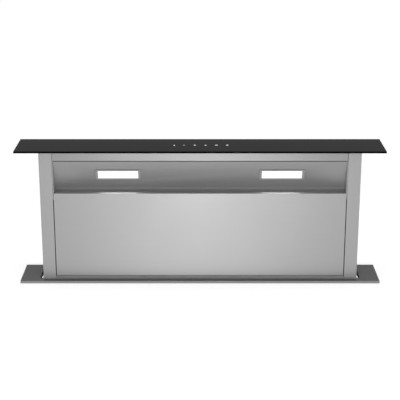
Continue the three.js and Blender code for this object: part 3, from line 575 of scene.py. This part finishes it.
def wire(shape, points, radius, sides=8):
    """Adds a round wire along a line of points."""
    turns = [2 * math.pi * i / sides for i in range(sides)]
    across = None
    rings = []
    for i, point in enumerate(points):
        along = (points[min(i + 1, len(points) - 1)] - points[max(i - 1, 0)]).normalized()
        across = along.orthogonal() if across is None else across - along * across.dot(along)
        across.normalize()
        other = along.cross(across)
        offsets = [across * math.cos(turn) + other * math.sin(turn) for turn in turns]
        rings.append([shape.verts.new(point + offset * radius) for offset in offsets])
    for low, high in zip(rings, rings[1:]):
        bridge(shape, low, high)
    shape.faces.new(rings[0])
    shape.faces.new(rings[-1])


def spread(start, end, pitch):
    """Evenly spaced values from start to end, about a pitch apart."""
    count = max(1, round(abs(end - start) / pitch))
    return [start + (end - start) * i / count for i in range(count + 1)]


def casing_rivets(finishes):
    """Rivets along the casing's sides and floor, front and rear."""
    margin, pitch = 40 * MM, 90 * MM
    row_margin, row_pitch, duct_clear = 30 * MM, 95 * MM, 12 * MM
    front_low, front_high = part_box("casing_front")
    side_low, side_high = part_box("casing_side_right")
    floor_low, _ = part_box("casing_floor")
    collar_low, collar_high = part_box("outlet_collar")
    column = (side_low.x + side_high.x) / 2
    row = floor_low.z + 9 * MM
    heights = spread(row + margin, front_high.z - margin, pitch)
    places = []
    for outward in (-1, 1):
        face = -outward * front_low.y
        spots = [(side * column, z) for side in (-1, 1) for z in heights]
        for x in spread(-column + row_margin, column - row_margin, row_pitch):
            near_duct = collar_low.x - duct_clear < x < collar_high.x + duct_clear
            if outward > 0 or not near_duct:
                spots.append((x, row))
        places += [facing((x, face, z), (0, outward, 0)) for x, z in spots]
    fittings("casing_rivets", "casing", finishes["gear_steel"], places, [(RIVET, 14)])


def tower_rivets(finishes):
    """Rivets that hold the back panel's stiles, on the rear of the tower."""
    margin, pitch = 25 * MM, 90 * MM
    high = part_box("stile_right")[1]
    flange_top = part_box("flange")[1].z
    column = (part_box("back_panel")[1].x + high.x) / 2
    heights = spread(flange_top + margin, high.z - margin, pitch)
    places = [
        facing((side * column, high.y, z), (0, 1, 0)) for side in (-1, 1) for z in heights
    ]
    fittings("tower_rivets", "tower", finishes["brushed_steel"], places, [(RIVET, 14)])


def hex_screws(name, places, finishes):
    """Hexagon screws on washers."""
    forms = [(WASHER, 20), (HEX_HEAD, 6)]
    fittings(name, "casing", finishes["gear_steel"], places, forms)


def control_box_screws(finishes):
    """Screws in the cover's corners and in the box's two ears."""
    lid_low, lid_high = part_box("control_box_cover")
    box_low, box_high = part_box("control_box")
    corner = 10 * MM
    ear = 8 * MM
    ear_sheet = 2 * MM
    places = [
        facing((x, lid_low.y, z), (0, -1, 0))
        for x in (lid_low.x + corner, lid_high.x - corner)
        for z in (lid_low.z + corner, lid_high.z - corner)
    ]
    middle = (lid_low.z + lid_high.z) / 2
    places += [
        facing((x, box_high.y - ear_sheet, middle), (0, -1, 0))
        for x in (box_low.x + ear, box_high.x - ear)
    ]
    hex_screws("control_box_screws", places, finishes)


def flat_spots(node, nearest, farthest):
    """Centres of the separate faces of a node that look to -Y between two depths."""
    shape = bmesh.new()
    shape.from_mesh(frame["nodes"][node].data)
    bmesh.ops.remove_doubles(shape, verts=shape.verts, dist=MERGE)
    faces = {
        face
        for face in shape.faces
        if face.normal.y < -0.99 and nearest < face.calc_center_median().y < farthest
    }
    centres = []
    while faces:
        group = [faces.pop()]
        for face in group:
            for edge in face.edges:
                for other in edge.link_faces:
                    if other in faces:
                        faces.remove(other)
                        group.append(other)
        area = sum(face.calc_area() for face in group)
        middle = sum((face.calc_center_median() * face.calc_area() for face in group), Vector())
        centres.append(middle / area)
    shape.free()
    return centres


def scroll_screws(finishes):
    """A screw on each boss of the scroll's rim."""
    _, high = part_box("scroll_housing")
    spots = flat_spots("scroll_housing", high.y - 30 * MM, high.y - 10 * MM)
    hex_screws("scroll_screws", [facing(spot, (0, -1, 0)) for spot in spots], finishes)


def motor_mounts(finishes):
    """Rubber grommets and screws that hold the fan motor's flange."""
    motor_low, motor_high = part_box("fan_motor")
    scroll_low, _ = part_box("scroll_housing")
    centre = (motor_low + motor_high) / 2
    circle = 63 * MM
    face = scroll_low.y - 0.3 * MM
    washer_foot = Vector((0, -2.4 * MM, 0))
    turns = [math.radians(45 + 90 * i) for i in range(4)]
    spots = [
        Vector((centre.x + circle * math.cos(turn), face, centre.z + circle * math.sin(turn)))
        for turn in turns
    ]
    places = [facing(spot, (0, -1, 0)) for spot in spots]
    fittings("motor_grommets", "casing", finishes["rubber"], places, [(GROMMET, 24)])
    lifted = [facing(spot + washer_foot, (0, -1, 0)) for spot in spots]
    hex_screws("motor_screws", lifted, finishes)


def clamp_threads(finishes):
    """Threads on the clamp screws, and a nut under each bracket's foot."""
    pitch, root, crest = 1.25 * MM, 3.02 * MM, 3.4 * MM
    shank_top, shank_end = 3 * MM, 5 * MM
    nut_drop = 7.1 * MM
    nut = millimetres([(3.5, 0), (5.8, 0), (6.3, 0.5), (6.3, 4.5), (5.8, 5), (3.5, 5)])
    steel = finishes["gear_steel"]
    for side in ("left", "right"):
        low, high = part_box("clamp_screw_" + side)
        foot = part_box("worktop_clamp_" + side)[1].z
        centre = (low + high) / 2
        bottom, top = low.z + shank_end, high.z - shank_top
        profile = []
        for i in range(int((top - bottom) / pitch)):
            profile += [(root, i * pitch), (crest, (i + 0.5) * pitch)]
        thread_place = Matrix.Translation((centre.x, centre.y, bottom))
        nut_place = Matrix.Translation((centre.x, centre.y, foot - nut_drop))
        fittings("clamp_thread_" + side, "casing", steel, [thread_place], [(profile, 14)])
        fittings("clamp_nut_" + side, "casing", steel, [nut_place], [(nut, 6)])


def ring_profile(inner, outer, foot, top):
    """Profile of a turned ring with eased corners."""
    ease = 0.3
    return millimetres(
        [
            (inner, foot + ease), (inner + ease, foot), (outer - ease, foot), (outer, foot + ease),
            (outer, top - ease), (outer - ease, top), (inner + ease, top), (inner, top - ease),
            (inner, foot + ease),
        ]
    )


def gland_cap(finishes):
    """The fluted cap of the cable gland and the rubber ring in its mouth."""
    low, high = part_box("cable_gland")
    centre = (low + high) / 2
    foot = Matrix.Translation((centre.x, centre.y, low.z))
    cap = millimetres([(9.1, 1.2), (10.4, 1.6), (10.9, 3), (10.9, 12.5), (10.2, 13.5), (9.1, 13.5)])
    shape = bmesh.new()
    turned(shape, cap, foot, steps=48, flute=0.45 * MM)
    settle(shape, "gland_cap", "casing", finishes["black_plastic"])
    shape = bmesh.new()
    turned(shape, ring_profile(3.7, 4.45, 0.2, 5), foot, steps=24, ends=False)
    bmesh.ops.remove_doubles(shape, verts=shape.verts, dist=MERGE)
    settle(shape, "gland_ring", "casing", finishes["rubber"])


def flap_springs(finishes):
    """Coil springs on the flaps' pin, one at each end, outside the hinge's barrels."""
    low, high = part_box("flap_pin")
    centre = (low + high) / 2
    start, end, radius, gauge = 61.2 * MM, 69.5 * MM, 3.3 * MM, 0.45 * MM
    turns, steps = 7, 18
    shape = bmesh.new()
    for side in (-1, 1):
        points = []
        for i in range(turns * steps + 1):
            turn = 2 * math.pi * i / steps
            x = side * (start + (end - start) * i / (turns * steps))
            points.append(centre + Vector((x, radius * math.cos(turn), radius * math.sin(turn))))
        wire(shape, points, gauge)
    settle(shape, "flap_springs", "casing", finishes["gear_steel"])


def add_fasteners(finishes):
    casing_rivets(finishes)
    tower_rivets(finishes)
    control_box_screws(finishes)
    scroll_screws(finishes)
    motor_mounts(finishes)
    clamp_threads(finishes)
    gland_cap(finishes)
    flap_springs(finishes)


# ---------- Painted shadow lines and lips ---


def strip(shape, low, high):
    """Adds a bar between two corners, with its long edges along X."""
    made = bmesh.ops.create_cube(shape, size=1.0)["verts"]
    bmesh.ops.scale(shape, vec=Vector(high) - Vector(low), verts=made)
    bmesh.ops.translate(shape, vec=(Vector(low) + Vector(high)) / 2, verts=made)


def lintel_painted_shadow(finishes):
    """A soft dark strip between the lintel's lower edge and the recess, which is painted shadow: it
    stands for the shadow line under the lintel.
    """
    low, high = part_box("lintel")
    fascia_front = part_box("lamp_fascia")[0].y
    drop, inset, ends, sink, rise = 2.2 * MM, 0.9 * MM, 0.6 * MM, 0.2 * MM, 1 * MM
    shape = bmesh.new()
    strip(
        shape,
        (low.x + ends, low.y + inset, low.z - drop),
        (high.x - ends, fascia_front + sink, low.z + rise),
    )
    bmesh.ops.bevel(shape, geom=shape.edges[:], offset=0.4 * MM, segments=2, affect="EDGES")
    settle(shape, "lintel_painted_shadow", "tower", finishes["lintel_painted_shadow"])


def rounded_rectangle(half_width, half_height, radius, steps=5):
    """Points round a rectangle with round corners."""
    points = []
    for quarter, (sx, sy) in enumerate([(1, 1), (-1, 1), (-1, -1), (1, -1)]):
        for i in range(steps + 1):
            turn = (quarter + i / steps) * math.pi / 2
            x = sx * (half_width - radius) + radius * math.cos(turn)
            y = sy * (half_height - radius) + radius * math.sin(turn)
            points.append((x, y))
    return points


def tilted_face(node):
    """A place on a node's front face, X along it and Z out of it, and the face's half sizes."""
    mesh = frame["nodes"][node].data
    fronts = [face for face in mesh.polygons if face.normal.y < -0.5]
    out = max(fronts, key=lambda face: face.area).normal.copy()
    reach = max(out.dot(vert.co) for vert in mesh.vertices)
    spots = [vert.co for vert in mesh.vertices if out.dot(vert.co) > reach - MERGE]
    right = Vector((1, 0, 0))
    up = out.cross(right)
    xs = [right.dot(spot) for spot in spots]
    ys = [up.dot(spot) for spot in spots]
    middle = right * (min(xs) + max(xs)) / 2 + up * (min(ys) + max(ys)) / 2 + out * reach
    turn = Matrix((right, up, out)).transposed().to_4x4()
    return Matrix.Translation(middle) @ turn, (max(xs) - min(xs)) / 2, (max(ys) - min(ys)) / 2


def lamp_painted_shadows(finishes):
    """A thin dark ring round each lamp's bezel, almost flush with it, which is painted shadow: it stands
    for the shadow line round the bezel.
    """
    width, top, foot, corner = 0.5 * MM, -0.15 * MM, -1.25 * MM, 4 * MM
    section = [(0, foot), (width, foot), (width, top - 0.3 * MM), (0.15 * MM, top), (0, top)]
    for side in ("left", "right"):
        place, half_width, half_height = tilted_face("lamp_bezel_" + side)
        shape = bmesh.new()
        loops = []
        for grow, level in section:
            outline = rounded_rectangle(half_width + grow, half_height + grow, corner + grow)
            loops.append([shape.verts.new(place @ Vector((x, y, level))) for x, y in outline])
        for low, high in zip(loops, loops[1:] + loops[:1]):
            bridge(shape, low, high)
        settle(shape, "lamp_painted_shadow_" + side, "tower", finishes["lamp_painted_shadow"])


def slot_lips(finishes):
    """Soft lips on the wipers, one each side of the tower, that lie out over the slot's edge."""
    front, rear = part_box("front_panel")[0].y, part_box("back_panel")[1].y
    wiper_low, wiper_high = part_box("slot_wiper_front")
    foot, under, tip = -1.0 * MM, 0.33 * MM, 0.9 * MM
    profile = [
        (1.9, foot), (1.9, under), (7.0, under), (7.0, 0.43 * MM), (2.2, tip), (0.6, tip), (0.7, foot),
    ]
    for name, face, outward in (("front", front, -1), ("rear", rear, 1)):
        shape = bmesh.new()
        ends = [
            [
                shape.verts.new((x, face + outward * away * MM, wiper_high.z + level))
                for away, level in profile
            ]
            for x in (wiper_low.x, wiper_high.x)
        ]
        bridge(shape, *ends)
        for end in ends:
            shape.faces.new(end)
        settle(shape, "slot_lip_" + name, "casing", finishes["lip_rubber"])


def add_trim(finishes):
    lintel_painted_shadow(finishes)
    slot_lips(finishes)
    lamp_painted_shadows(finishes)


# ---------- Touch symbols ----------


def flat_symbol(name, outline, centre, finish):
    """A thin printed shape on the glass, drawn in millimetres round its centre."""
    lift, thickness = 0.02 * MM, 0.03 * MM
    shape = bmesh.new()
    low = [shape.verts.new(centre + Vector((x * MM, y * MM, lift))) for x, y in outline]
    high = [shape.verts.new(v.co + Vector((0, 0, thickness))) for v in low]
    shape.faces.new(list(reversed(low)))
    shape.faces.new(high)
    bridge(shape, low, high)
    bmesh.ops.recalc_face_normals(shape, faces=shape.faces[:])
    piece = show(name, close_mesh(shape, name, finish))
    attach(piece, "tower")


def disc(radius_x, radius_y, steps=20):
    turns = [2 * math.pi * i / steps for i in range(steps)]
    return [(radius_x * math.cos(turn), radius_y * math.sin(turn)) for turn in turns]


def touch_symbols():
    low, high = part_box("glass_lid")
    shift, pitch = 0.5 * MM, 26 * MM
    middle = Vector((shift, (low.y + high.y) / 2, high.z))
    bright = symbol_light("symbol_bright", 0.9)
    even = symbol_light("symbol_even", 0.55)
    dim = symbol_light("symbol_dim", 0.42)
    shapes = [
        ("lamp", [(0.8, -4.5), (3.8, -4.5), (3.8, 6)], bright),
        ("minus", [(-2.6, -1.2), (2.6, -1.2), (2.6, 1.2), (-2.6, 1.2)], even),
        ("speed", disc(2.6, 3.8), even),
        ("up", [(-3.4, -4), (3.4, -4), (0, 5)], dim),
        ("lift", [(-3.2, -3.4), (3.2, -3.4), (3.2, 3.4), (-3.2, 3.4)], dim),
        ("power", disc(2.8, 4.2), even),
    ]
    for i, (name, outline, finish) in enumerate(shapes):
        centre = middle + Vector(((i - (len(shapes) - 1) / 2) * pitch, 0, 0))
        flat_symbol("symbol_" + name, outline, centre, finish)


# ---------- Stage and light ----------


def background_ray(nodes, links):
    """1 for the rays that show the background: the camera's, mirrored and refracted ones."""
    path = nodes.new("ShaderNodeLightPath").outputs
    mirrored = calculate(nodes, links, "MAXIMUM", path["Is Camera Ray"], path["Is Glossy Ray"])
    return calculate(nodes, links, "MAXIMUM", mirrored, path["Is Transmission Ray"])


def stage_surface(shader, colour, glow):
    """A matt surface that fills up to white where the background shows, and keeps its shadows."""
    nodes, links = shader.nodes, shader.links
    shader.set(
        Base_Color=colour,
        Roughness=0.9,
        Specular_IOR_Level=0.1,
        Emission_Color=(1, 1, 1, 1),
        Emission_Strength=calculate(nodes, links, "MULTIPLY", background_ray(nodes, links), glow),
    )
    return shader.material


def worktop_white():
    return stage_surface(Shader("worktop_white"), (0.4, 0.4, 0.4, 1), 0.61)


def floor_white():
    """Fills up more with distance, where the lamps light the floor less."""
    shader = Shader("floor_white")
    distance = shader.add("VectorMath", Vector=shader.place())
    distance.operation = "LENGTH"
    glow = shader.between(distance.outputs["Value"], 0.3, 0.63, 1.0, 5.0)
    return stage_surface(shader, (0.8, 0.8, 0.8, 1), glow)


def stage_block(name, low, high, material, hole=None):
    """A slab, with an upright hole through it where one is given."""
    shape = bmesh.new()
    xs = [low[0], high[0]] if hole is None else [low[0], hole[0][0], hole[1][0], high[0]]
    ys = [low[1], high[1]] if hole is None else [low[1], hole[0][1], hole[1][1], high[1]]
    grid = [[shape.verts.new((x, y, low[2])) for y in ys] for x in xs]
    for i in range(len(xs) - 1):
        for j in range(len(ys) - 1):
            if hole is None or (i, j) != (1, 1):
                shape.faces.new((grid[i][j], grid[i + 1][j], grid[i + 1][j + 1], grid[i][j + 1]))
    extruded = bmesh.ops.extrude_face_region(shape, geom=shape.faces[:], use_keep_orig=True)
    raised = [item for item in extruded["geom"] if isinstance(item, bmesh.types.BMVert)]
    bmesh.ops.translate(shape, vec=(0, 0, high[2] - low[2]), verts=raised)
    bmesh.ops.recalc_face_normals(shape, faces=shape.faces[:])
    piece = show(name, close_mesh(shape, name, material))


def add_worktop():
    """A worktop slab with a hole for the casing."""
    casing_low, casing_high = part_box("casing_front")
    clear = 7 * MM
    half_slot = 50 * MM
    hole = ((casing_low.x - clear, -half_slot), (casing_high.x + clear, half_slot))
    half_length, front, rear = 0.5, -0.68, 0.09
    top, underside = -0.6 * MM, -38 * MM
    low, high = (-half_length, front, underside), (half_length, rear, top)
    stage_block("worktop", low, high, worktop_white(), hole)


def add_floor():
    lowest = cad_bounds[0][2]
    clear, thickness, size = 12 * MM, 48 * MM, 12.0
    top = lowest - clear
    low, high = (-size, -size, top - thickness), (size, size, top)
    stage_block("floor", low, high, floor_white())


def add_area(name, location, aim, size, power, mirrored=True):
    """A softbox that shines towards a point, and shows in metal and glass if it is mirrored."""
    data = bpy.data.lights.new(name, "AREA")
    data.shape = "RECTANGLE"
    data.size, data.size_y = size
    data.energy = power
    lamp = bpy.data.objects.new(name, data)
    lamp.location = location
    direction = Vector(aim) - Vector(location)
    lamp.rotation_euler = direction.to_track_quat("-Z", "Y").to_euler()
    lamp.visible_camera = False
    lamp.visible_glossy = mirrored
    bpy.context.scene.collection.objects.link(lamp)
    return lamp


def add_lamp_beams():
    """The light that each lit lens throws on the steel round it."""
    tilt = math.radians(26)
    clear, size, power = 6 * MM, (90 * MM, 20 * MM), 0.07
    outward = Vector((0, -math.cos(tilt), -math.sin(tilt)))
    for side in ("left", "right"):
        low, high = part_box("lamp_lens_" + side)
        at = (low + high) / 2 + outward * clear
        beam = add_area("lamp_beam_" + side, at, at + outward, size, power)
        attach(beam, "tower")


def add_light():
    """A pale world and four softboxes."""
    world = bpy.data.worlds.new("studio")
    bpy.context.scene.world = world
    world.use_nodes = True
    nodes, links = world.node_tree.nodes, world.node_tree.links
    background = nodes["Background"]
    background.inputs["Color"].default_value = (1, 1, 1, 1)
    level = nodes.new("ShaderNodeMapRange")
    level.inputs["To Min"].default_value = 0.44
    level.inputs["To Max"].default_value = 1.0
    links.new(background_ray(nodes, links), level.inputs["Value"])
    links.new(level.outputs["Result"], background.inputs["Strength"])
    add_area("softbox_front", (0, -2.2, 3.0), (0, 0, 0.15), (3.0, 1.6), 49, mirrored=False)
    add_area("softbox_low", (0, -2.5, 0.2), (0, 0, 0.1), (0.45, 0.45), 14)
    add_area("softbox_top", (0, -0.4, 2.8), (0, 0, 0), (2.4, 1.6), 30, mirrored=False)
    add_area("softbox_back", (0, 2.8, 1.6), (0, 0, -0.2), (1.8, 1.0), 18, mirrored=False)
    bpy.context.scene.view_settings.view_transform = "Standard"


add_camera()
finishes = make_finishes()
dress_frame(finishes)
touch_symbols()
add_trim(finishes)
add_fasteners(finishes)
add_worktop()
add_floor()
add_light()
add_lamp_beams()
